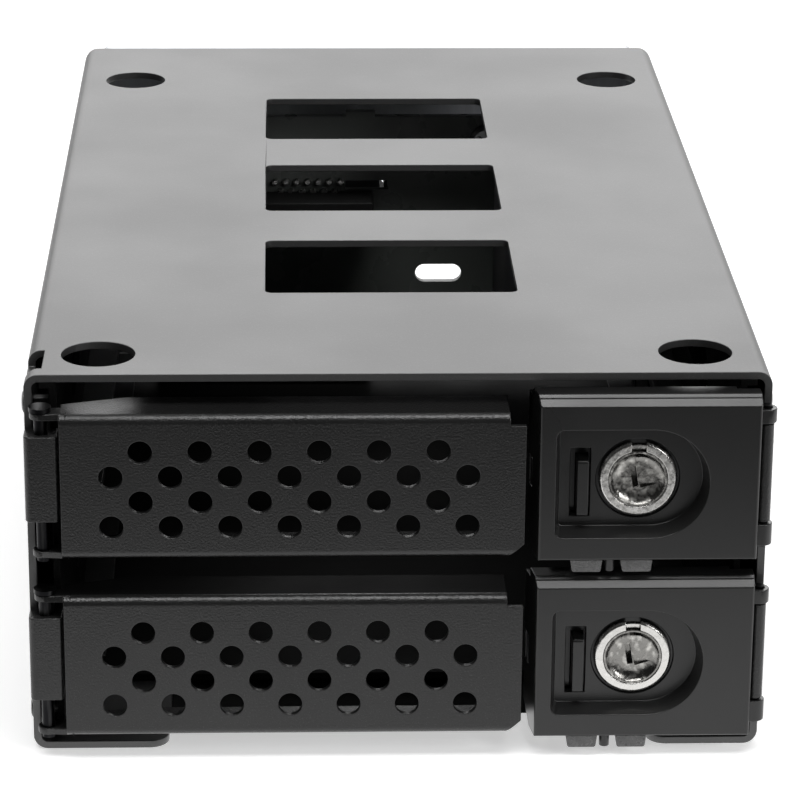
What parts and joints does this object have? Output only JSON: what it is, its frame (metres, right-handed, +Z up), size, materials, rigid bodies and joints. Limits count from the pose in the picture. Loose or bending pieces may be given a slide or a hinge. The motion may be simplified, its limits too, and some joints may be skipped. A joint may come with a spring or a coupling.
{
  "type": "hot swap drive cage",
  "caption": "Sheet metal drive cage with stacked trayless bays, perforated swing doors, hinged locking handles, a backplane with drive sockets and bottom screw holes.",
  "frame": {"origin": "centre of the four bottom screw holes, on the underside of the cage", "axes": "+X to the right seen from the front, +Y from the doors to the back, +Z up"},
  "size_m": [0.113, 0.2015, 0.0614],
  "materials": {
    "black_coat": "black powder coat, fine grained and satin",
    "black_sheet": "black painted inner sheet, satin",
    "zinc_steel": "zinc plated sheet steel, dull",
    "steel_pin": "bare drawn steel, smooth",
    "black_plastic": "black moulded plastic, fine satin",
    "dark_plastic": "black nylon, smooth",
    "circuit_board": "black solder mask over fibreglass, glossy",
    "lock_metal": "nickel plated die casting, fine scratches",
    "lens": "frosted clear plastic",
    "spring_steel": "bright spring wire",
    "screw_black": "blackened steel screws"
  },
  "bodies": {
    "root": {"cover": "black_coat", "floor_plate": "black_sheet", "guide_left": "black_sheet", "guide_right": "black_sheet", "backplane": "circuit_board", "board_bracket_left": "zinc_steel", "board_bracket_right": "zinc_steel", "power_port": "dark_plastic", "rear_frame": "zinc_steel", "board_screws": "steel_pin", "side_screws": "screw_black", "rail_left_upper": "dark_plastic", "rail_right_upper": "dark_plastic", "drive_socket_upper": "dark_plastic", "data_port_upper": "dark_plastic", "led_board_upper": "circuit_board", "leds_upper": "lens", "hinge_block_upper": "black_plastic", "hinge_pin_upper": "steel_pin", "handle_hinge_upper": "black_coat", "handle_pin_upper": "steel_pin", "pusher_spring_upper": "spring_steel", "rail_left_lower": "dark_plastic", "rail_right_lower": "dark_plastic", "drive_socket_lower": "dark_plastic", "data_port_lower": "dark_plastic", "led_board_lower": "circuit_board", "leds_lower": "lens", "hinge_block_lower": "black_plastic", "hinge_pin_lower": "steel_pin", "handle_hinge_lower": "black_coat", "handle_pin_lower": "steel_pin", "pusher_spring_lower": "spring_steel"},
    "door_upper": {"door_upper": "black_coat"},
    "handle_upper": {"handle_upper": "black_plastic", "handle_back_upper": "black_plastic", "handle_screws_upper": "screw_black", "lever_pin_upper": "steel_pin", "lock_housing_upper": "lock_metal", "lens_power_upper": "lens", "lens_activity_upper": "lens"},
    "lock_upper": {"lock_plug_upper": "lock_metal", "lock_cam_upper": "zinc_steel"},
    "release_upper": {"release_lever_upper": "black_plastic"},
    "pusher_upper": {"pusher_upper": "dark_plastic"},
    "door_lower": {"door_lower": "black_coat"},
    "handle_lower": {"handle_lower": "black_plastic", "handle_back_lower": "black_plastic", "handle_screws_lower": "screw_black", "lever_pin_lower": "steel_pin", "lock_housing_lower": "lock_metal", "lens_power_lower": "lens", "lens_activity_lower": "lens"},
    "lock_lower": {"lock_plug_lower": "lock_metal", "lock_cam_lower": "zinc_steel"},
    "release_lower": {"release_lever_lower": "black_plastic"},
    "pusher_lower": {"pusher_lower": "dark_plastic"}
  },
  "joints": [
    {"name": "door_upper_hinge", "type": "hinge", "parent": "root", "child": "door_upper", "pos_m": [-0.0535, -0.0895, 0.04535], "axis": [0, 0, -1], "range_deg": [0, 105]},
    {"name": "handle_upper_hinge", "type": "hinge", "parent": "root", "child": "handle_upper", "pos_m": [0.05505, -0.0895, 0.04535], "axis": [0, 0, 1], "range_deg": [0, 115]},
    {"name": "lock_upper_turn", "type": "hinge", "parent": "handle_upper", "child": "lock_upper", "pos_m": [0.03605, -0.0885, 0.0449], "axis": [0, 1, 0], "range_deg": [0, 90]},
    {"name": "release_upper_rock", "type": "hinge", "parent": "handle_upper", "child": "release_upper", "pos_m": [0.0292, -0.0859, 0.04535], "axis": [0, 0, -1], "range_deg": [0, 5], "stiffness_Nm_per_rad": 0.02, "springref_deg": -2.86},
    {"name": "pusher_upper_slide", "type": "slide", "parent": "root", "child": "pusher_upper", "axis": [0, 1, 0], "range_m": [0, 0.008], "stiffness_N_per_m": 300, "springref_m": -0.003, "deforming": ["pusher_spring_upper"]},
    {"name": "door_lower_hinge", "type": "hinge", "parent": "root", "child": "door_lower", "pos_m": [-0.0535, -0.0895, 0.01605], "axis": [0, 0, -1], "range_deg": [0, 105]},
    {"name": "handle_lower_hinge", "type": "hinge", "parent": "root", "child": "handle_lower", "pos_m": [0.05505, -0.0895, 0.01605], "axis": [0, 0, 1], "range_deg": [0, 115]},
    {"name": "lock_lower_turn", "type": "hinge", "parent": "handle_lower", "child": "lock_lower", "pos_m": [0.03605, -0.0885, 0.0156], "axis": [0, 1, 0], "range_deg": [0, 90]},
    {"name": "release_lower_rock", "type": "hinge", "parent": "handle_lower", "child": "release_lower", "pos_m": [0.0292, -0.0859, 0.01605], "axis": [0, 0, -1], "range_deg": [0, 5], "stiffness_Nm_per_rad": 0.02, "springref_deg": -2.86},
    {"name": "pusher_lower_slide", "type": "slide", "parent": "root", "child": "pusher_lower", "axis": [0, 1, 0], "range_m": [0, 0.008], "stiffness_N_per_m": 300, "springref_m": -0.003, "deforming": ["pusher_spring_lower"]}
  ]
}
